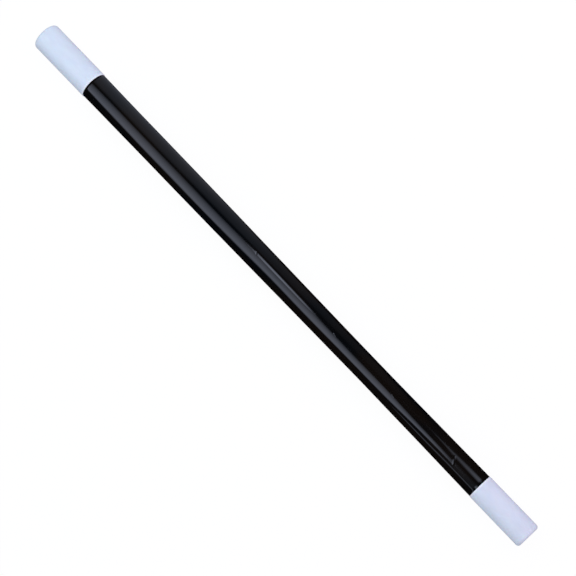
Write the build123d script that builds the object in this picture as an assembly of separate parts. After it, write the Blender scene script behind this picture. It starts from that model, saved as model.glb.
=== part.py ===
from build123d import *
import os

# A stage magic wand that lies along X: a thin black tube with a white moulded cap
# pushed into each end. The wand narrows from left to right, so the two caps are one
# design in two sizes. The origin is the middle of the wand. Millimetres.

# Whole wand
wand_length = 305.0
left_head_length = 32.5         # white length that shows
left_head_radius = 6.65
right_head_length = 29.0
right_head_radius = 6.0
end_edge_fillet = 1.4           # soft edge round each flat end face
rim_chamfer = 0.15              # broken edge of the head beside the tube

# Tube, outside
tube_wall = 0.8
left_mouth_radius = 6.42
right_mouth_radius = 5.84
mouth_stretch = 0.11            # a spigot widens its mouth by this much over its own length
narrowing_x = -44.0             # the tube narrows faster on the right of this
narrowing_radius = 6.12
waist_x = 57.0                  # the tube is at its narrowest here
waist_radius = 5.47
easing_radii = [800, 5000, 2000, 2000]  # arcs that ease each change of slope, left to right

# Spigot of each cap
spigot_length = 15.0
spigot_clearance = 0.05         # between the ribs' crests and the tube's bore
spigot_wall = 1.1
lead_in_length = 2.0
lead_in_depth = 0.35
rib_count = 8
rib_width = 0.9
rib_height = 0.3
rib_end_gap = 3.0               # the ribs stop this far short of the spigot's open end

# Hollow core of each cap
end_wall = 2.2
core_draft = 0.15               # the core narrows by this much on its radius
core_fillet = 1.2

left_mouth_x = left_head_length - wand_length / 2
right_mouth_x = wand_length / 2 - right_head_length
stretch_slope = mouth_stretch / spigot_length


def tube_edge(wall):
    """Lengthwise edge of the tube, a wall's depth in from its outside."""
    stations = [
        (left_mouth_x, left_mouth_radius),
        (left_mouth_x + spigot_length, left_mouth_radius - mouth_stretch),
        (narrowing_x, narrowing_radius),
        (waist_x, waist_radius),
        (right_mouth_x - spigot_length, right_mouth_radius - mouth_stretch),
        (right_mouth_x, right_mouth_radius),
    ]
    FilletPolyline(*[(x, radius - wall) for x, radius in stations], radius=easing_radii)


def make_tube():
    """Thin tube that narrows to a waist right of its middle, stretched at both mouths."""
    with BuildPart() as tube:
        with BuildSketch(Plane.XY):
            with BuildLine():
                tube_edge(0)
                tube_edge(tube_wall)
                for x, radius in ((left_mouth_x, left_mouth_radius), (right_mouth_x, right_mouth_radius)):
                    Line((x, radius - tube_wall), (x, radius))
            make_face()
        revolve(axis=Axis.X)
    return tube.part


def make_rib(crest_root, crest_end):
    """One grip rib, sloped down at the end that enters the tube first."""
    start_x = rib_end_gap - spigot_length
    rib_base = crest_end - rib_height - spigot_wall / 2
    crest_start = crest_root + (crest_root - crest_end) * start_x / spigot_length
    with BuildPart() as rib:
        with BuildSketch(Plane.XY):
            with BuildLine():
                Polyline(
                    (start_x - rib_height, rib_base),
                    (start_x - rib_height, crest_start - rib_height),
                    (start_x + rib_height, crest_start),
                    (0, crest_root),
                    (0, rib_base),
                    close=True,
                )
            make_face()
        extrude(amount=rib_width / 2, both=True)
    return rib.part


def make_cap(head_length, head_radius, mouth_radius):
    """End cap with its head along +X and its shoulder, which meets the tube, at X = 0."""
    crest_root = mouth_radius - tube_wall - spigot_clearance
    crest_end = crest_root - stretch_slope * spigot_length
    spigot_root = crest_root - rib_height
    spigot_end = crest_end - rib_height
    core_mouth = spigot_end - spigot_wall
    core_bottom = core_mouth - core_draft
    core_bottom_x = head_length - end_wall
    with BuildPart() as cap:
        with BuildSketch(Plane.XY) as section:
            with BuildLine():
                Polyline(
                    (-spigot_length, core_mouth),
                    (-spigot_length, spigot_end - lead_in_depth),
                    (lead_in_length - spigot_length, spigot_end),
                    (0, spigot_root),
                    (0, head_radius - rim_chamfer),
                    (rim_chamfer, head_radius),
                    (head_length, head_radius),
                    (head_length, 0),
                    (core_bottom_x, 0),
                    (core_bottom_x, core_bottom),
                    close=True,
                )
            make_face()
            end_corner = section.vertices().sort_by_distance((head_length, head_radius))[0]
            fillet(end_corner, end_edge_fillet)
            core_corner = section.vertices().sort_by_distance((core_bottom_x, core_bottom))[0]
            fillet(core_corner, core_fillet)
        revolve(axis=Axis.X)
        rib = make_rib(crest_root, crest_end)
        for index in range(rib_count):
            add(rib.rotate(Axis.X, index * 360 / rib_count))
    return cap.part


os.makedirs("parts", exist_ok=True)

export_step(make_tube(), "parts/black_tube.step")

left_cap = make_cap(left_head_length, left_head_radius, left_mouth_radius)
export_step(Pos(left_mouth_x, 0, 0) * Rot(0, 0, 180) * left_cap, "parts/left_cap.step")

right_cap = make_cap(right_head_length, right_head_radius, right_mouth_radius)
export_step(Pos(right_mouth_x, 0, 0) * right_cap, "parts/right_cap.step")
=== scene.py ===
"""Looks of a stage magic wand: a glossy black tube with a satin white cap in each end."""

import logging
import math
from dataclasses import dataclass, field
from enum import Enum

import bpy
from mathutils import Matrix, Vector, noise

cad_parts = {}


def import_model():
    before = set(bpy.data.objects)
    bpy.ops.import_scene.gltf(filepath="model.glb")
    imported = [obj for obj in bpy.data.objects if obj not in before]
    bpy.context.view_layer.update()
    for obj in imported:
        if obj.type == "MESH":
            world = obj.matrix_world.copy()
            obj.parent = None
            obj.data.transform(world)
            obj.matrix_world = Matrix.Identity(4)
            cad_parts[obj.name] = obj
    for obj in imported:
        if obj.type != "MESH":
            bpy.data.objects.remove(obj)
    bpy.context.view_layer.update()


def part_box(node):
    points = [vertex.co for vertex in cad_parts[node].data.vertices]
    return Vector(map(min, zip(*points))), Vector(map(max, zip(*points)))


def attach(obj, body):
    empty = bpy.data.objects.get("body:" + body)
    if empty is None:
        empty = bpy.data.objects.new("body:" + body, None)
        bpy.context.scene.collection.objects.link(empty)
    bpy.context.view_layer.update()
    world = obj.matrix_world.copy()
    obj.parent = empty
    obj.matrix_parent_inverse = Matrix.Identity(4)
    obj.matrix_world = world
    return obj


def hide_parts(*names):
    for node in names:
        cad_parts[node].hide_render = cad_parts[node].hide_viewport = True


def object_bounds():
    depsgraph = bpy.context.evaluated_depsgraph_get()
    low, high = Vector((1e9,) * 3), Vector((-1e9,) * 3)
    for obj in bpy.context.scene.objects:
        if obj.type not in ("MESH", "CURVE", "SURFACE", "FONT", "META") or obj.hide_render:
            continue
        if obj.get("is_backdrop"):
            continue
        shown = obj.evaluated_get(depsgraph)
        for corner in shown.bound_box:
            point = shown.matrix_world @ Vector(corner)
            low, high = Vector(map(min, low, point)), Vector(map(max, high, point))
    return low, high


LOG = logging.getLogger("magic_wand")
MM = 0.001


# ---------------------------------------------------------------- shader graphs


class Signal:
    """A number in a shader graph, so that shader maths reads as Python expressions."""

    def __init__(self, graph: "Graph", socket: bpy.types.NodeSocket) -> None:
        """Wrap one output socket of a graph."""
        self.graph = graph
        self.socket = socket

    def _math(self, operation: str, *values: object) -> "Signal":
        """Add one Math node for an operation on values."""
        settings = {"operation": operation}
        return self.graph.add("ShaderNodeMath", settings, dict(enumerate(values)))

    def __add__(self, other: object) -> "Signal":
        """Sum of this and another value."""
        return self._math("ADD", self, other)

    def __radd__(self, other: object) -> "Signal":
        """Sum of another value and this."""
        return self._math("ADD", other, self)

    def __sub__(self, other: object) -> "Signal":
        """This less another value."""
        return self._math("SUBTRACT", self, other)

    def __rsub__(self, other: object) -> "Signal":
        """Another value less this."""
        return self._math("SUBTRACT", other, self)

    def __mul__(self, other: object) -> "Signal":
        """Product of this and another value."""
        return self._math("MULTIPLY", self, other)

    def __rmul__(self, other: object) -> "Signal":
        """Product of another value and this."""
        return self._math("MULTIPLY", other, self)

    def __abs__(self) -> "Signal":
        """Distance of this from nought."""
        return self._math("ABSOLUTE", self)

    def between(self, low: float, high: float) -> "Signal":
        """Smooth rise from 0 at low to 1 at high, held flat outside them.

        Args:
            low: value at which the result is 0.
            high: value at which the result is 1.

        Returns:
            The eased signal.
        """
        settings = {"interpolation_type": "SMOOTHSTEP"}
        inputs = {"Value": self, "From Min": low, "From Max": high}
        return self.graph.add("ShaderNodeMapRange", settings, inputs)


class Graph:
    """One material's node tree."""

    def __init__(self, name: str) -> None:
        """Start an empty material.

        Args:
            name: the material's name.
        """
        self.material = bpy.data.materials.new(name)
        self.material.use_nodes = True
        self.tree = self.material.node_tree
        self.tree.nodes.clear()

    def node(self, kind: str, settings: dict, inputs: dict) -> bpy.types.Node:
        """Add a node, set it up, then fill or link its inputs.

        Args:
            kind: the node's type name.
            settings: attributes set before the inputs; "stops" are a colour ramp's stops.
            inputs: values, Signals or sockets by input name or number.

        Returns:
            The new node.
        """
        node = self.tree.nodes.new(kind)
        for key, value in settings.items():
            if key == "stops":
                self._set_stops(node.color_ramp, value)
            else:
                setattr(node, key, value)
        for key, value in inputs.items():
            source = value.socket if isinstance(value, Signal) else value
            if isinstance(source, bpy.types.NodeSocket):
                self.tree.links.new(source, node.inputs[key])
            else:
                node.inputs[key].default_value = source
        return node

    def add(self, kind: str, settings: dict, inputs: dict, output: int | str = 0) -> Signal:
        """Add a node as node() does and return one of its outputs.

        Args:
            kind: the node's type name.
            settings: attributes set before the inputs.
            inputs: values, Signals or sockets by input name or number.
            output: which output to return.

        Returns:
            The chosen output as a Signal.
        """
        return Signal(self, self.node(kind, settings, inputs).outputs[output])

    @staticmethod
    def _set_stops(ramp: bpy.types.ColorRamp, stops: list) -> None:
        """Replace a ramp's stops.

        Args:
            ramp: the colour ramp to set.
            stops: (position, colour) pairs in order.
        """
        while len(ramp.elements) < len(stops):
            ramp.elements.new(1.0)
        for element, (position, colour) in zip(ramp.elements, stops):
            element.position = position
            element.color = colour

    def place(self) -> Signal:
        """Position on the piece in the wand's frame, in millimetres."""
        coordinates = self.add("ShaderNodeTexCoord", {}, {}, "Object")
        return self.scaled(coordinates, (1000.0, 1000.0, 1000.0))

    def scaled(self, vector: Signal, factors: tuple) -> Signal:
        """A vector multiplied axis by axis."""
        return self.add("ShaderNodeVectorMath", {"operation": "MULTIPLY"}, {0: vector, 1: factors})

    def grain(self, vector: Signal, stretch: tuple, detail: float = 2.0) -> Signal:
        """Smooth noise around 0.5, with its size set axis by axis.

        Args:
            vector: position in millimetres.
            stretch: features per millimetre along X, Y and Z.
            detail: how many finer layers are added.

        Returns:
            The noise as a Signal.
        """
        inputs = {"Vector": self.scaled(vector, stretch), "Scale": 1.0, "Detail": detail}
        return self.add("ShaderNodeTexNoise", {}, inputs)

    def specks(self, vector: Signal, per_mm: float, size: float) -> Signal:
        """Small round spots, 1 inside each and 0 outside.

        Args:
            vector: position in millimetres.
            per_mm: spots per millimetre.
            size: radius of a spot as a share of their spacing.

        Returns:
            The mask as a Signal.
        """
        inputs = {"Vector": self.scaled(vector, (per_mm,) * 3), "Scale": 1.0}
        near = self.add("ShaderNodeTexVoronoi", {}, inputs, "Distance")
        return near.between(size, size * 0.5)

    def blend(self, factor: Signal, first: tuple | Signal, second: tuple | Signal) -> Signal:
        """Colour mixed from first to second as factor goes from 0 to 1."""
        settings = {"data_type": "RGBA"}
        return self.add("ShaderNodeMix", settings, {0: factor, 6: first, 7: second}, 2)

    def surface(self, shader_inputs: dict, height: Signal, depth: float) -> bpy.types.Material:
        """Close the graph with a Principled shader whose normal is bumped by a height.

        Args:
            shader_inputs: values or Signals by the shader's input name.
            height: relief from 0 to 1.
            depth: the relief's depth in metres.

        Returns:
            The finished material.
        """
        relief = {"Strength": 1.0, "Distance": depth, "Height": height}
        inputs = {**shader_inputs, "Normal": self.add("ShaderNodeBump", {}, relief)}
        shader = self.add("ShaderNodeBsdfPrincipled", {}, inputs)
        self.node("ShaderNodeOutputMaterial", {}, {"Surface": shader})
        return self.material


def rgba(red: float, green: float, blue: float) -> tuple:
    """An opaque colour."""
    return (red, green, blue, 1.0)


# ---------------------------------------------------------------- finishes


@dataclass(frozen=True)
class GlossBlack:
    """Polished black of the extruded tube: die lines, haze, hairline scratches and dust."""

    cool: tuple = rgba(0.0020, 0.0026, 0.0034)
    warm: tuple = rgba(0.0056, 0.0040, 0.0031)
    dust: tuple = rgba(0.020, 0.020, 0.022)
    polish: float = 0.055
    haze: float = 0.05
    die_line_grain: tuple = (0.015, 2.6, 2.6)
    tone_grain: tuple = (0.03, 0.12, 0.12)
    haze_grain: tuple = (0.08, 0.25, 0.25)
    scratch_grain: tuple = (0.22, 1.1, 1.1)
    patch_grain: tuple = (0.05, 0.2, 0.2)
    dust_per_mm: float = 0.55
    dust_size: float = 0.07
    scratch_dulling: float = 0.12
    dust_dulling: float = 0.3
    refraction: float = 1.49
    scratch_width: float = 0.012
    relief: float = 0.000006

    def build(self) -> bpy.types.Material:
        """Make the material.

        Returns:
            The gloss black material.
        """
        graph = Graph("gloss_black_plastic")
        place = graph.place()
        die_lines = graph.grain(place, self.die_line_grain)
        tone = graph.grain(place, self.tone_grain, 1.0).between(0.35, 0.65)
        haze = graph.grain(place, self.haze_grain, 4.0).between(0.4, 0.75)
        streaks = graph.grain(place, self.scratch_grain, 1.0)
        hairline = abs(streaks - 0.5).between(self.scratch_width, 0.0)
        patches = graph.grain(place, self.patch_grain, 1.0).between(0.5, 0.7)
        scratches = hairline * patches
        dust = graph.specks(place, self.dust_per_mm, self.dust_size)
        colour = graph.blend(dust, graph.blend(tone, self.cool, self.warm), self.dust)
        marked = self.scratch_dulling * scratches
        roughness = self.polish + self.haze * haze + marked + self.dust_dulling * dust
        height = 0.5 * die_lines - 0.35 * scratches + 0.4 * dust
        inputs = {"Base Color": colour, "Roughness": roughness, "IOR": self.refraction}
        return graph.surface(inputs, height, self.relief)


@dataclass(frozen=True)
class SatinWhite:
    """Moulded white of the caps: fine satin grain, faint mottling, light handling marks, and a
    painted highlight on the head beside the shoulder.
    """

    clean: tuple = rgba(0.77, 0.84, 0.93)
    mottled: tuple = rgba(0.74, 0.81, 0.90)
    grime: tuple = rgba(0.50, 0.50, 0.52)
    # near-white colour of the painted highlight along the rim beside the shoulder
    rim_painted_highlight: tuple = rgba(0.90, 0.93, 0.98)
    satin: float = 0.42
    mottling_grain: tuple = (0.16, 0.3, 0.3)
    fine_grain: tuple = (3.2, 3.2, 3.2)
    peel_grain: tuple = (0.7, 0.7, 0.7)
    smear_grain: tuple = (0.35, 1.1, 1.1)
    worn_edge: float = 1.5
    handled_from: float = 8.0
    # millimetres past the shoulder where the painted rim highlight starts to fade in, and where it
    # is full
    rim_highlight_start: float = 1.1
    rim_highlight_full: float = 0.3
    end_x: float = 152.5
    shoulder_x: float = 120.0
    refraction: float = 1.5
    glow_depth: float = 0.0015
    glow_share: float = 0.08
    relief: float = 0.000010

    def build(self) -> bpy.types.Material:
        """Make the material.

        Returns:
            The satin white material.
        """
        graph = Graph(f"satin_white_{self.shoulder_x:.0f}")
        place = graph.place()
        along = abs(graph.add("ShaderNodeSeparateXYZ", {}, {0: place}, "X"))
        mottling = graph.grain(place, self.mottling_grain, 3.0)
        grain = graph.grain(place, self.fine_grain, 2.0)
        peel = graph.grain(place, self.peel_grain, 1.0)
        smears = graph.grain(place, self.smear_grain, 4.0)
        near_end = along.between(self.shoulder_x + self.handled_from, self.end_x)
        handled = smears.between(0.58, 0.74) * near_end
        edge = along.between(self.end_x - self.worn_edge, self.end_x) * smears.between(0.45, 0.65)
        wear = 0.10 * handled + 0.12 * edge
        # painted highlight: the colour is lightened to near-white just outside the shoulder,
        # standing in for light caught on the rim's edge
        rim_highlight_mask = along.between(
            self.shoulder_x + self.rim_highlight_start, self.shoulder_x + self.rim_highlight_full
        )
        tone = graph.blend(mottling.between(0.35, 0.7), self.clean, self.mottled)
        colour = graph.blend(rim_highlight_mask, graph.blend(wear, tone, self.grime), self.rim_painted_highlight)
        roughness = self.satin + 0.12 * mottling - 0.10 * handled
        height = 0.35 * grain + 0.65 * peel
        inputs = {
            "Base Color": colour,
            "Roughness": roughness,
            "IOR": self.refraction,
            "Subsurface Weight": self.glow_share,
            "Subsurface Scale": self.glow_depth,
        }
        return graph.surface(inputs, height, self.relief)


@dataclass(frozen=True)
class PaleFloor:
    """Pale matt floor that glows a little, so that shadows on it stay faint."""

    glow: float = 0.95
    albedo: float = 0.06

    def build(self) -> bpy.types.Material:
        """Make the material.

        Returns:
            The floor's material.
        """
        graph = Graph("pale_floor")
        fixed = {
            "Base Color": rgba(self.albedo, self.albedo, self.albedo),
            "Roughness": 1.0,
            "Specular IOR Level": 0.0,
            "Emission Color": rgba(1.0, 1.0, 1.0),
            "Emission Strength": self.glow,
        }
        shader = graph.add("ShaderNodeBsdfPrincipled", {}, fixed)
        graph.node("ShaderNodeOutputMaterial", {}, {"Surface": shader})
        return graph.material


@dataclass(frozen=True)
class CardGlow:
    """Light of a reflected card, whose brightness is stored on the card's points."""

    tint: tuple = rgba(0.77, 0.84, 1.05)

    def build(self) -> bpy.types.Material:
        """Make the material.

        Returns:
            The panels' material.
        """
        graph = Graph("card_glow")
        glow = graph.add("ShaderNodeAttribute", {"attribute_name": "glow"}, {}, "Fac")
        light = graph.add("ShaderNodeEmission", {}, {"Color": self.tint, "Strength": glow})
        graph.node("ShaderNodeOutputMaterial", {}, {"Surface": light})
        return graph.material


# ---------------------------------------------------------------- turned shapes


@dataclass(frozen=True)
class Ring:
    """One ring of a turned outline: where it is, how wide, and whether its edge is crisp."""

    x: float
    radius: float
    crisp: bool = False
    skin: str = ""


def corner(start: tuple, corner_at: tuple, end: tuple, steps: int) -> list[Ring]:
    """Rings that round a corner of an outline with a smooth quarter turn.

    Args:
        start: (x, radius) where the round begins.
        corner_at: (x, radius) of the corner that is rounded off.
        end: (x, radius) where the round ends.
        steps: number of stretches in the round.

    Returns:
        The rings from start to end.
    """
    rings = []
    for index in range(steps + 1):
        turn = math.pi / 2 * index / steps
        from_end, from_start = 1 - math.sin(turn), 1 - math.cos(turn)
        x, radius = (
            at + (first - at) * from_end + (last - at) * from_start
            for first, at, last in zip(start, corner_at, end)
        )
        rings.append(Ring(x, radius))
    return rings


@dataclass
class TurnedPiece:
    """A piece that is turned about the X axis from a list of rings."""

    name: str
    segments: int

    def rings(self) -> list[Ring]:
        """The outline; each piece gives its own."""
        raise NotImplementedError

    def is_loop(self) -> bool:
        """True if the last ring joins the first, as on an open tube."""
        return False

    def radius_at(self, ring: Ring, angle: float) -> float:
        """Radius of the surface on one ring at an angle from the top."""
        return ring.radius

    def build(self) -> bpy.types.Object:
        """Make the mesh object.

        Returns:
            The new object, linked into the scene and shaded smooth.
        """
        rings = self.rings()
        points, first_of = [], []
        for ring in rings:
            first_of.append(len(points))
            if ring.radius == 0:
                points.append((ring.x, 0.0, 0.0))
                continue
            for index in range(self.segments):
                angle = 2 * math.pi * index / self.segments
                radius = self.radius_at(ring, angle)
                points.append((ring.x, -radius * math.sin(angle), radius * math.cos(angle)))
        pairs = list(zip(range(len(rings) - 1), range(1, len(rings))))
        if self.is_loop():
            pairs.append((len(rings) - 1, 0))
        faces = [face for a, b in pairs for face in self._band(rings, first_of, a, b)]
        mesh = bpy.data.meshes.new(self.name)
        mesh.from_pydata(points, [], faces)
        mesh.shade_smooth()
        self._mark_crisp(mesh, rings, first_of)
        mesh.validate()
        piece = bpy.data.objects.new(self.name, mesh)
        bpy.context.scene.collection.objects.link(piece)
        return piece

    def _band(self, rings: list[Ring], first_of: list[int], a: int, b: int) -> list[tuple]:
        """Faces between two rings, facing out of the material.

        Args:
            rings: the whole outline.
            first_of: number of each ring's first point.
            a: number of the nearer ring.
            b: number of the further ring.

        Returns:
            The faces as tuples of point numbers.
        """
        faces = []
        for index in range(self.segments):
            after = (index + 1) % self.segments
            if rings[a].radius == 0:
                faces.append((first_of[a], first_of[b] + index, first_of[b] + after))
            elif rings[b].radius == 0:
                faces.append((first_of[a] + after, first_of[a] + index, first_of[b]))
            else:
                near, far = first_of[a], first_of[b]
                faces.append((near + after, near + index, far + index, far + after))
        return faces

    def _mark_crisp(self, mesh: bpy.types.Mesh, rings: list[Ring], first_of: list[int]) -> None:
        """Mark the edges of crisp rings, so that shading breaks there.

        Args:
            mesh: the mesh made from the rings.
            rings: the whole outline.
            first_of: number of each ring's first point.
        """
        crisp = set()
        for ring, first in zip(rings, first_of):
            if ring.crisp:
                crisp.update(range(first, first + self.segments))
        for edge in mesh.edges:
            start, end = edge.vertices
            step = abs(start - end)
            if start in crisp and end in crisp and step in (1, self.segments - 1):
                edge.use_edge_sharp = True


# ---------------------------------------------------------------- the tube


@dataclass(frozen=True)
class Mark:
    """A small raised or pressed line on the tube, straight from one place to another."""

    start_x: float
    end_x: float
    start_side: float
    end_side: float
    width: float
    height: float

    def lift(self, x: float, side: float) -> float:
        """Radial lift of the mark at a place on the tube.

        Args:
            x: place along the tube.
            side: distance across the tube from its top line.

        Returns:
            How far the surface is raised, or pressed in if negative.
        """
        dx, ds = self.end_x - self.start_x, self.end_side - self.start_side
        along = ((x - self.start_x) * dx + (side - self.start_side) * ds) / (dx * dx + ds * ds)
        along = min(max(along, 0.0), 1.0)
        off = math.hypot(x - self.start_x - along * dx, side - self.start_side - along * ds)
        if off >= self.width:
            return 0.0
        return self.height * math.cos(off / self.width * math.pi / 2) ** 2


@dataclass
class BlackTube(TurnedPiece):
    """Thin black tube that narrows to a waist right of its middle, stretched at its mouths."""

    name: str = "tube_shell"
    segments: int = 240
    body: str = "tube"
    node: str = "black_tube"
    wall: float = 0.8 * MM
    mouth_round: float = 0.12 * MM
    spigot_length: float = 15.0 * MM
    right_mouth_radius: float = 5.84 * MM
    mouth_stretch: float = 0.11 * MM
    narrowing_radius: float = 6.12 * MM
    narrowing_x: float = -44.0 * MM
    waist_radius: float = 5.47 * MM
    waist_x: float = 57.0 * MM
    coarse_step: float = 1.5 * MM
    fine_step: float = 0.25 * MM
    fine_reach: float = 1.6 * MM
    bore_stride: int = 8
    mouth_steps: int = 4
    wave_height: float = 0.045 * MM
    wave_length: float = 22 * MM
    waves_round: float = 2.2
    wave_fade: float = 15 * MM
    spigot_ease: float = 3.0 * MM
    waist_ease: float = 6.0 * MM
    marks: list[Mark] = field(
        default_factory=lambda: [
            Mark(-13.6 * MM, -13.0 * MM, -0.6 * MM, 0.0 * MM, 0.35 * MM, -0.03 * MM),
            Mark(35.2 * MM, 36.4 * MM, -0.5 * MM, -0.2 * MM, 0.4 * MM, 0.05 * MM),
            Mark(71.0 * MM, 72.2 * MM, -0.2 * MM, 0.0 * MM, 0.4 * MM, 0.05 * MM),
            Mark(107.6 * MM, 109.6 * MM, -1.3 * MM, 1.9 * MM, 0.45 * MM, 0.03 * MM),
            Mark(108.6 * MM, 109.6 * MM, 0.1 * MM, 1.6 * MM, 0.6 * MM, 0.05 * MM),
        ]
    )

    def __post_init__(self) -> None:
        """Read the tube's ends and its wider mouth from the frame."""
        low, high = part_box(self.node)
        self.left_x, self.right_x = low.x, high.x
        self.left_mouth_radius = (high.z - low.z) / 2

    def is_loop(self) -> bool:
        """The tube is open at both ends."""
        return True

    def outline(self, x: float) -> float:
        """Outside radius of the tube: straight runs eased into each other.

        Args:
            x: place along the tube.

        Returns:
            The radius there, without waviness or marks.
        """
        left, right, stretch = self.left_mouth_radius, self.right_mouth_radius, self.mouth_stretch
        stations = [
            (self.left_x, left, 0.0),
            (self.left_x + self.spigot_length, left - stretch, self.spigot_ease),
            (self.narrowing_x, self.narrowing_radius, self.waist_ease),
            (self.waist_x, self.waist_radius, self.waist_ease),
            (self.right_x - self.spigot_length, right - stretch, self.spigot_ease),
            (self.right_x, right, 0.0),
        ]
        slopes = [(b[1] - a[1]) / (b[0] - a[0]) for a, b in zip(stations, stations[1:])]
        radius = stations[0][1] + slopes[0] * (x - stations[0][0])
        for station, before, after in zip(stations[1:-1], slopes, slopes[1:]):
            offset, ease = x - station[0], station[2]
            radius += (after - before) * (offset + math.hypot(offset, ease)) / 2
        return radius

    def steps(self) -> list[float]:
        """Places along the tube where rings go, close together at the marks.

        Returns:
            The places from left to right.
        """
        places = []
        x = self.left_x + self.mouth_round
        while x < self.right_x - self.mouth_round:
            places.append(x)
            x += self.fine_step if self.is_near_mark(x) else self.coarse_step
        places.append(self.right_x - self.mouth_round)
        return places

    def is_near_mark(self, x: float) -> bool:
        """True within the fine reach of any mark's ends."""
        reach = self.fine_reach
        return any(mark.start_x - reach < x < mark.end_x + reach for mark in self.marks)

    def rings(self) -> list[Ring]:
        """Outside from left to right, the right mouth, the bore back, and the left mouth.

        Returns:
            The closed outline of the wall.
        """
        outside = [Ring(x, self.outline(x), skin="outside") for x in self.steps()]
        bore_places = [x for index, x in enumerate(self.steps()) if index % self.bore_stride == 0]
        bore = [Ring(x, self.outline(x) - self.wall, skin="bore") for x in reversed(bore_places)]
        right = self._mouth(self.right_x, -1)
        left = self._mouth(self.left_x, 1)
        return outside[1:-1] + right + bore[1:-1] + left[::-1]

    def _mouth(self, end_x: float, inward: int) -> list[Ring]:
        """Rings over one mouth from the outside to the bore.

        Args:
            end_x: place of the mouth.
            inward: 1 if the tube goes to the right of the mouth, or -1 to the left.

        Returns:
            The rings of both rounded edges.
        """
        outer = self.outline(end_x)
        inner = outer - self.wall
        low, high = inner + self.mouth_round, outer - self.mouth_round
        back_x = end_x + inward * self.mouth_round
        outer_edge = corner((back_x, outer), (end_x, outer), (end_x, high), self.mouth_steps)
        inner_edge = corner((end_x, low), (end_x, inner), (back_x, inner), self.mouth_steps)
        return outer_edge + inner_edge

    def radius_at(self, ring: Ring, angle: float) -> float:
        """Radius with the wall's slight waviness and its marks.

        Args:
            ring: the ring on the outside or in the bore.
            angle: angle from the top line.

        Returns:
            The radius at that angle.
        """
        if ring.skin != "outside":
            return ring.radius
        wrapped = angle - 2 * math.pi if angle > math.pi else angle
        side = wrapped * ring.radius
        around = self.waves_round
        place = (ring.x / self.wave_length, around * math.cos(angle), around * math.sin(angle))
        wave = self.wave_height * noise.noise(Vector(place))
        from_end = min(ring.x - self.left_x, self.right_x - ring.x)
        ends = min(1.0, from_end / self.wave_fade)
        return ring.radius + ends * wave + sum(mark.lift(ring.x, side) for mark in self.marks)

    def dress(self, piece: bpy.types.Object, finish: GlossBlack) -> None:
        """Give the tube its finish and its place in the frame.

        Args:
            piece: the tube's mesh object.
            finish: the finish to build.
        """
        piece.data.materials.append(finish.build())
        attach(piece, self.body)
        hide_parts(self.node)


# ---------------------------------------------------------------- the caps


class End(Enum):
    """Which end of the wand a cap closes."""

    LEFT = -1
    RIGHT = 1


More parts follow.
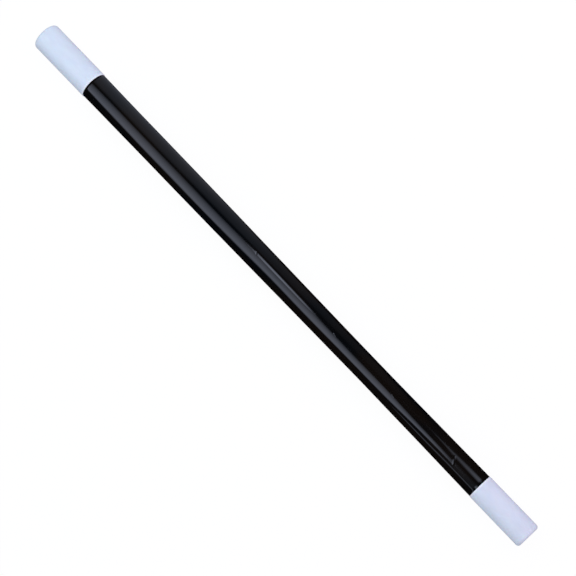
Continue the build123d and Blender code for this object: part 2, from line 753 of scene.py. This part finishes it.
@dataclass
class EndCap(TurnedPiece):
    """White moulded cap: a round-edged head, and a ribbed hollow spigot inside the tube."""

    name: str = ""
    segments: int = 192
    end: End = End.LEFT
    head_length: float = 32.5 * MM
    mouth_radius: float = 6.42 * MM
    edge_round: float = 1.4 * MM
    rim_round: float = 0.15 * MM
    spigot_length: float = 15.0 * MM
    spigot_taper: float = 0.11 * MM
    tube_wall: float = 0.8 * MM
    clearance: float = 0.05 * MM
    spigot_wall: float = 1.1 * MM
    lead_in_length: float = 2.0 * MM
    lead_in_depth: float = 0.35 * MM
    rib_count: int = 8
    rib_width: float = 0.9 * MM
    rib_height: float = 0.3 * MM
    rib_end_gap: float = 3.0 * MM
    end_wall: float = 2.2 * MM
    core_draft: float = 0.15 * MM
    core_round: float = 1.2 * MM
    gate_radius: float = 1.0 * MM
    gate_depth: float = 0.10 * MM
    face_rings: tuple = (2.2 * MM, 4.2 * MM)
    root_ring: float = 0.45 * MM
    rib_ease: float = 0.01 * MM
    edge_steps: int = 10
    rim_steps: int = 4
    side_steps: int = 24
    core_steps: int = 4
    core_round_steps: int = 6
    spigot_steps: int = 40

    def __post_init__(self) -> None:
        """Read the head's size and place from the frame."""
        side = self.end.name.lower()
        self.name = f"{side}_cap_moulding"
        self.node = f"{side}_cap"
        self.body = f"{side}_end"
        low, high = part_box(self.node)
        self.end_x = high.x if self.end is End.RIGHT else -low.x
        self.head_radius = (high.z - low.z) / 2
        self.shoulder_x = self.end_x - self.head_length
        self.spigot_root = self.mouth_radius - self.tube_wall - self.clearance - self.rib_height
        self.spigot_end = self.spigot_root - self.spigot_taper

    def rings(self) -> list[Ring]:
        """From the middle of the end face, over the head and the spigot, to the core's floor.

        Returns:
            The open outline of the cap, at this cap's end of the wand.
        """
        end_x, head, shoulder = self.end_x, self.head_radius, self.shoulder_x
        floor_x = end_x - self.end_wall
        open_x = shoulder - self.spigot_length
        core_mouth = self.spigot_end - self.spigot_wall
        core_floor = core_mouth - self.core_draft
        gate, dip, edge, rim = self.gate_radius, self.gate_depth, self.edge_round, self.rim_round
        rings = [Ring(end_x - dip, 0.0), Ring(end_x - dip, gate * 0.5)]
        gate_edge = ((end_x - dip, gate * 0.8), (end_x, gate), (end_x, gate * 1.2))
        rings += corner(*gate_edge, self.rim_steps)
        rings += [Ring(end_x, radius) for radius in self.face_rings]
        head_edge = ((end_x, head - edge), (end_x, head), (end_x - edge, head))
        rings += corner(*head_edge, self.edge_steps)
        side = end_x - edge - (shoulder + rim)
        for step in range(1, self.side_steps):
            rings.append(Ring(end_x - edge - side * step / self.side_steps, head))
        rim_edge = ((shoulder + rim, head), (shoulder, head), (shoulder, head - rim))
        rings += corner(*rim_edge, self.rim_steps)
        rings.append(Ring(shoulder, self.spigot_root + self.root_ring))
        rings.append(Ring(shoulder, self.spigot_root, crisp=True))
        rings += self._spigot(shoulder, open_x)
        rings.append(Ring(open_x, core_mouth, crisp=True))
        bend_x = floor_x - self.core_round
        for step in range(1, self.core_steps):
            x = open_x + (bend_x - open_x) * step / self.core_steps
            rings.append(Ring(x, core_mouth - self.core_draft * step / self.core_steps))
        core_edge = (
            (bend_x, core_floor),
            (floor_x, core_floor),
            (floor_x, core_floor - self.core_round),
        )
        rings += corner(*core_edge, self.core_round_steps)
        rings.append(Ring(floor_x, 0.0))
        return [self._placed(ring) for ring in rings]

    def _spigot(self, shoulder: float, open_x: float) -> list[Ring]:
        """Rings along the spigot from its root to its open end.

        Args:
            shoulder: distance of the shoulder from the middle of the wand.
            open_x: distance of the spigot's open end.

        Returns:
            The rings, with a crisp one at the open end.
        """
        rings = []
        run = self.spigot_length - self.lead_in_length
        for index in range(1, self.spigot_steps + 1):
            along = run * index / self.spigot_steps
            share = along / self.spigot_length
            radius = self.spigot_root + (self.spigot_end - self.spigot_root) * share
            rings.append(Ring(shoulder - along, radius, skin="spigot"))
        rings.append(Ring(open_x, self.spigot_end - self.lead_in_depth, crisp=True))
        return rings

    def _placed(self, ring: Ring) -> Ring:
        """The same ring at this cap's end of the wand."""
        return Ring(ring.x * self.end.value, ring.radius, ring.crisp, ring.skin)

    def radius_at(self, ring: Ring, angle: float) -> float:
        """Radius with the grip ribs on the spigot.

        Args:
            ring: the ring, on the spigot or elsewhere.
            angle: angle from the top line.

        Returns:
            The radius at that angle.
        """
        if ring.skin != "spigot":
            return ring.radius
        from_root = self.shoulder_x - abs(ring.x)
        rib_run = self.spigot_length - self.rib_end_gap
        fade = min(max((rib_run - from_root) / self.rib_height, 0.0), 1.0)
        pitch = 2 * math.pi / self.rib_count
        off = abs((angle + pitch / 2) % pitch - pitch / 2) * ring.radius
        half = self.rib_width / 2
        if off > half:
            return ring.radius
        crest = math.sqrt(max(0.0, 1 - (off / half) ** 2))
        return ring.radius + (self.rib_height - self.rib_ease) * crest * fade

    def _band(self, rings: list[Ring], first_of: list[int], a: int, b: int) -> list[tuple]:
        """Faces between two rings, turned round on the right cap so that they face outward."""
        faces = super()._band(rings, first_of, a, b)
        return [face[::-1] for face in faces] if self.end is End.RIGHT else faces

    def dress(self, piece: bpy.types.Object, finish: bpy.types.Material) -> None:
        """Give the cap its finish and its place in the frame.

        Args:
            piece: the cap's mesh object.
            finish: the material to put on it.
        """
        piece.data.materials.append(finish)
        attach(piece, self.body)
        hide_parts(self.node)


# ---------------------------------------------------------------- camera and studio


@dataclass(frozen=True)
class WandCamera:
    """Long lens above the wand, past its right end, with the wand slanting down to the right."""

    foot_x: float = 0.1472
    height: float = 0.7773
    aim_x: float = 0.0061
    aim_y: float = -0.0002
    slant: float = -46.09
    lens: float = 114.8
    sensor_width: float = 36.0

    def build(self) -> bpy.types.Object:
        """Make the camera.

        Returns:
            The camera object, set as the scene's own.
        """
        data = bpy.data.cameras.new("camera")
        data.lens = self.lens
        data.sensor_width = self.sensor_width
        data.dof.use_dof = False
        camera = bpy.data.objects.new("camera", data)
        bpy.context.scene.collection.objects.link(camera)
        place = Vector((self.foot_x, 0.0, self.height))
        back = (place - Vector((self.aim_x, self.aim_y, 0.0))).normalized()
        wand = Vector((1.0, 0.0, 0.0))
        wand = (wand - wand.dot(back) * back).normalized()
        across = back.cross(wand)
        turn = math.radians(self.slant)
        right = math.cos(turn) * wand - math.sin(turn) * across
        up = math.sin(turn) * wand + math.cos(turn) * across
        axes = Matrix((right, up, back)).transposed().to_4x4()
        camera.matrix_world = Matrix.Translation(place) @ axes
        bpy.context.scene.camera = camera
        return camera


@dataclass(frozen=True)
class Card:
    """A curved panel placed by where its reflection shows on the tube.

    The places are (x, first angle, last angle): at x along the wand the reflection covers
    the tube from the first to the last angle, in degrees from its top line towards -Y.
    """

    name: str
    places: tuple
    across: tuple
    along: tuple
    strength: float
    reach: float = 0.62
    columns: int = 48
    rows: int = 24

    def build(self, camera: WandCamera, glow: bpy.types.Material) -> bpy.types.Object:
        """Make the panel.

        Args:
            camera: the camera whose view of the tube places the reflection.
            glow: the material that gives the panel its light.

        Returns:
            The panel, seen only in reflections.
        """
        points, levels = [], []
        for column in range(self.columns + 1):
            share = column / self.columns
            x, first, last = (self._follow(self.places, share, item) for item in range(3))
            away = x - self.reach * (camera.foot_x - x) / camera.height
            column_level = self._level(self.along, share)
            for row in range(self.rows + 1):
                part = row / self.rows
                angle = 2 * math.radians(first + (last - first) * part)
                side, rise = -self.reach * math.sin(angle), self.reach * math.cos(angle)
                points.append((away, side, rise))
                levels.append(self.strength * self._level(self.across, part) * column_level)
        faces = []
        stride = self.rows + 1
        for column in range(self.columns):
            for row in range(self.rows):
                at = column * stride + row
                faces.append((at, at + 1, at + stride + 1, at + stride))
        mesh = bpy.data.meshes.new(self.name)
        mesh.from_pydata(points, [], faces)
        mesh.attributes.new("glow", "FLOAT", "POINT").data.foreach_set("value", levels)
        card = bpy.data.objects.new(self.name, mesh)
        bpy.context.scene.collection.objects.link(card)
        mesh.materials.append(glow)
        card.visible_camera = False
        card.visible_diffuse = False
        card.visible_shadow = False
        card.visible_transmission = False
        card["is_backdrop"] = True
        return card

    @staticmethod
    def _follow(places: tuple, share: float, item: int) -> float:
        """One item of the places, at a share of the way along x.

        Args:
            places: (x, first angle, last angle) from left to right.
            share: share of the way from the first x to the last.
            item: which item to follow.

        Returns:
            The item, in between the two nearest places.
        """
        start, end = places[0][0], places[-1][0]
        x = start + (end - start) * share
        if item == 0:
            return x
        for before, after in zip(places, places[1:]):
            if x <= after[0] or after is places[-1]:
                part = (x - before[0]) / (after[0] - before[0])
                return before[item] + (after[item] - before[item]) * part
        return places[-1][item]

    @staticmethod
    def _level(levels: tuple, share: float) -> float:
        """Brightness at a share of the way.

        Args:
            levels: (share, brightness) pairs in order.
            share: share of the way.

        Returns:
            The brightness, in between the two nearest pairs.
        """
        for before, after in zip(levels, levels[1:]):
            if share <= after[0]:
                part = (share - before[0]) / (after[0] - before[0])
                return before[1] + (after[1] - before[1]) * part
        return levels[-1][1]


# Brightness of the panels beyond the wand's ends, across them and along them
SOFT_SIDES = ((0.0, 0.15), (0.2, 0.7), (0.5, 1.0), (0.8, 0.7), (1.0, 0.15))
SOFT_START = ((0.0, 0.1), (0.15, 0.8), (0.4, 1.0), (1.0, 0.7))
SOFT_FINISH = ((0.0, 0.7), (0.6, 1.0), (0.85, 0.8), (1.0, 0.1))


@dataclass
class Studio:
    """Pale floor, two soft lights, and the panels that the glossy tube reflects."""

    camera: WandCamera
    floor_radius: float = 6.0
    floor_segments: int = 96
    floor_bend_steps: int = 16
    key_size: float = 0.5
    keys: tuple = (
        ("left_key", (-0.22, 0.05, 0.55), 1.02, (0.60, 0.97, 1.0)),
        ("right_key", (0.26, 0.33, 0.50), 0.66, (1.0, 0.38, 0.71)),
    )
    ambient: tuple = (0.63, 0.63, 0.705)
    cards: tuple = (
        Card(
            "main_panel",
            (
                (-0.148, -2.0, 27.5),
                (-0.118, -2.0, 30.0),
                (-0.100, -2.2, 33.5),
                (-0.068, -3.0, 38.0),
                (-0.030, -3.0, 36.0),
                (-0.008, -5.0, 31.5),
                (0.055, -1.0, 28.5),
                (0.078, 1.0, 22.5),
                (0.1045, 6.0, 18.0),
            ),
            (
                (0.0, 0.06),
                (0.08, 0.25),
                (0.27, 0.56),
                (0.47, 0.78),
                (0.70, 1.0),
                (0.83, 1.0),
                (0.93, 0.55),
                (1.0, 0.1),
            ),
            ((0.0, 1.0), (0.95, 1.0), (1.0, 0.8)),
            2.3,
        ),
        Card(
            "side_panel",
            (
                (-0.150, -80.0, -7.0),
                (-0.04, -74.0, -12.0),
                (0.0, -60.0, -15.0),
                (0.075, -56.0, -22.0),
            ),
            ((0.0, 0.3), (0.25, 0.9), (0.5, 1.0), (0.85, 0.75), (1.0, 0.2)),
            ((0.0, 1.0), (0.2, 0.95), (0.45, 0.8), (0.68, 0.35), (1.0, 0.05)),
            0.52,
        ),
        Card(
            "fine_strip",
            ((-0.0098, -8.0, 1.5), (0.0265, -7.5, 2.0)),
            ((0.0, 0.1), (0.35, 0.7), (0.6, 1.0), (0.8, 0.8), (1.0, 0.4)),
            ((0.0, 0.8), (0.1, 0.9), (0.4, 1.0), (0.8, 0.8), (1.0, 0.3)),
            4.4,
            reach=0.58,
        ),
        Card(
            "edge_strip",
            ((-0.140, 23.0, 27.0), (-0.096, 24.5, 28.5)),
            ((0.0, 0.8), (0.6, 1.0), (1.0, 0.7)),
            ((0.0, 1.0), (0.6, 1.0), (1.0, 0.8)),
            2.9,
            reach=0.58,
        ),
        Card(
            "upper_strip",
            (
                (0.090, -18.5, -16.0),
                (0.102, -21.5, -12.5),
                (0.112, -27.5, -6.5),
                (0.155, -29.0, -6.0),
            ),
            ((0.0, 0.15), (0.3, 0.85), (0.5, 1.0), (0.7, 0.75), (1.0, 0.1)),
            ((0.0, 0.25), (0.3, 0.6), (0.4, 1.0), (1.0, 1.0)),
            1.85,
        ),
        Card(
            "lower_strip",
            ((0.072, 34.0, 38.5), (0.110, 29.0, 35.0), (0.155, 27.0, 34.0)),
            ((0.0, 0.3), (0.5, 1.0), (1.0, 0.3)),
            ((0.0, 0.3), (0.15, 1.0), (0.7, 1.0), (1.0, 0.9)),
            1.25,
        ),
        Card(
            "dim_panel",
            ((0.104, 3.0, 27.0), (0.155, 2.0, 27.0)),
            ((0.0, 0.2), (0.3, 0.8), (0.8, 1.0), (1.0, 1.0)),
            ((0.0, 1.0), (1.0, 1.0)),
            0.16,
            reach=0.66,
        ),
        Card(
            "right_end_panel",
            ((0.205, 6.0, 27.0), (0.8, 6.0, 27.0)),
            SOFT_SIDES,
            SOFT_START,
            2.0,
        ),
        Card(
            "right_back_panel",
            ((0.205, -36.0, -12.0), (0.8, -36.0, -12.0)),
            SOFT_SIDES,
            SOFT_START,
            1.5,
        ),
        Card(
            "left_end_panel",
            ((-0.726, 6.0, 27.0), (-0.19, 6.0, 27.0)),
            SOFT_SIDES,
            SOFT_FINISH,
            2.0,
        ),
        Card(
            "left_back_panel",
            ((-0.726, -36.0, -12.0), (-0.19, -36.0, -12.0)),
            SOFT_SIDES,
            SOFT_FINISH,
            1.5,
        ),
    )

    def build(self) -> None:
        """Make the world, the floor, the lights and the panels."""
        self._world()
        self._floor()
        self._keys()
        glow = CardGlow().build()
        for card in self.cards:
            card.build(self.camera, glow)
            LOG.info("studio panel %s", card.name)

    def _world(self) -> None:
        """Soft light from all round, which neither the camera nor the tube sees."""
        world = bpy.data.worlds.new("studio")
        world.use_nodes = True
        background = world.node_tree.nodes["Background"]
        background.inputs["Color"].default_value = rgba(*self.ambient)
        world.cycles_visibility.glossy = False
        bpy.context.scene.world = world

    def _floor(self) -> None:
        """Round floor under the wand that curves up into a wall all round."""
        floor_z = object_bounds()[0].z
        segments = self.floor_segments
        bend = self.floor_radius / 2
        profile = [(0.0, 0.0), (bend, 0.0)]
        for index in range(1, self.floor_bend_steps + 1):
            turn = math.pi / 2 * index / self.floor_bend_steps
            profile.append((bend * (1 + math.sin(turn)), bend * (1 - math.cos(turn))))
        profile.append((self.floor_radius, self.floor_radius * 2))
        points = [(0.0, 0.0, floor_z)]
        for radius, rise in profile[1:]:
            for index in range(segments):
                angle = 2 * math.pi * index / segments
                points.append((radius * math.cos(angle), radius * math.sin(angle), floor_z + rise))
        faces = [(0, 1 + k, 1 + (k + 1) % segments) for k in range(segments)]
        for level in range(len(profile) - 2):
            low, high = 1 + level * segments, 1 + (level + 1) * segments
            for k in range(segments):
                after = (k + 1) % segments
                faces.append((low + k, high + k, high + after, low + after))
        mesh = bpy.data.meshes.new("floor")
        mesh.from_pydata(points, [], faces)
        mesh.shade_smooth()
        mesh.materials.append(PaleFloor().build())
        floor = bpy.data.objects.new("floor", mesh)
        bpy.context.scene.collection.objects.link(floor)
        floor.visible_glossy = False
        floor.visible_diffuse = False
        floor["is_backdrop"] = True

    def _keys(self) -> None:
        """Soft lights above the wand, each turned towards its middle."""
        for name, place, power, tint in self.keys:
            data = bpy.data.lights.new(name, "AREA")
            data.shape = "SQUARE"
            data.size = self.key_size
            data.energy = power
            data.color = tint
            light = bpy.data.objects.new(name, data)
            light.location = place
            light.rotation_euler = Vector(place).to_track_quat("Z", "Y").to_euler()
            light.visible_glossy = False
            light.visible_camera = False
            bpy.context.scene.collection.objects.link(light)


# ---------------------------------------------------------------- all together


def main() -> None:
    """Build the wand, its studio and its camera."""
    logging.basicConfig(level=logging.INFO, format="%(message)s")
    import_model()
    bpy.context.scene.view_settings.view_transform = "Standard"

    tube = BlackTube()
    tube_piece = tube.build()
    tube.dress(tube_piece, GlossBlack())
    LOG.info("%s: %d faces", tube_piece.name, len(tube_piece.data.polygons))

    left_cap = EndCap(end=End.LEFT, head_length=32.5 * MM, mouth_radius=6.42 * MM)
    right_cap = EndCap(end=End.RIGHT, head_length=29.0 * MM, mouth_radius=5.84 * MM)
    for cap in (left_cap, right_cap):
        cap_piece = cap.build()
        white = SatinWhite(end_x=cap.end_x / MM, shoulder_x=cap.shoulder_x / MM)
        cap.dress(cap_piece, white.build())
        LOG.info("%s: %d faces", cap_piece.name, len(cap_piece.data.polygons))

    camera = WandCamera()
    camera.build()
    Studio(camera).build()


if __name__ == "__main__":
    main()
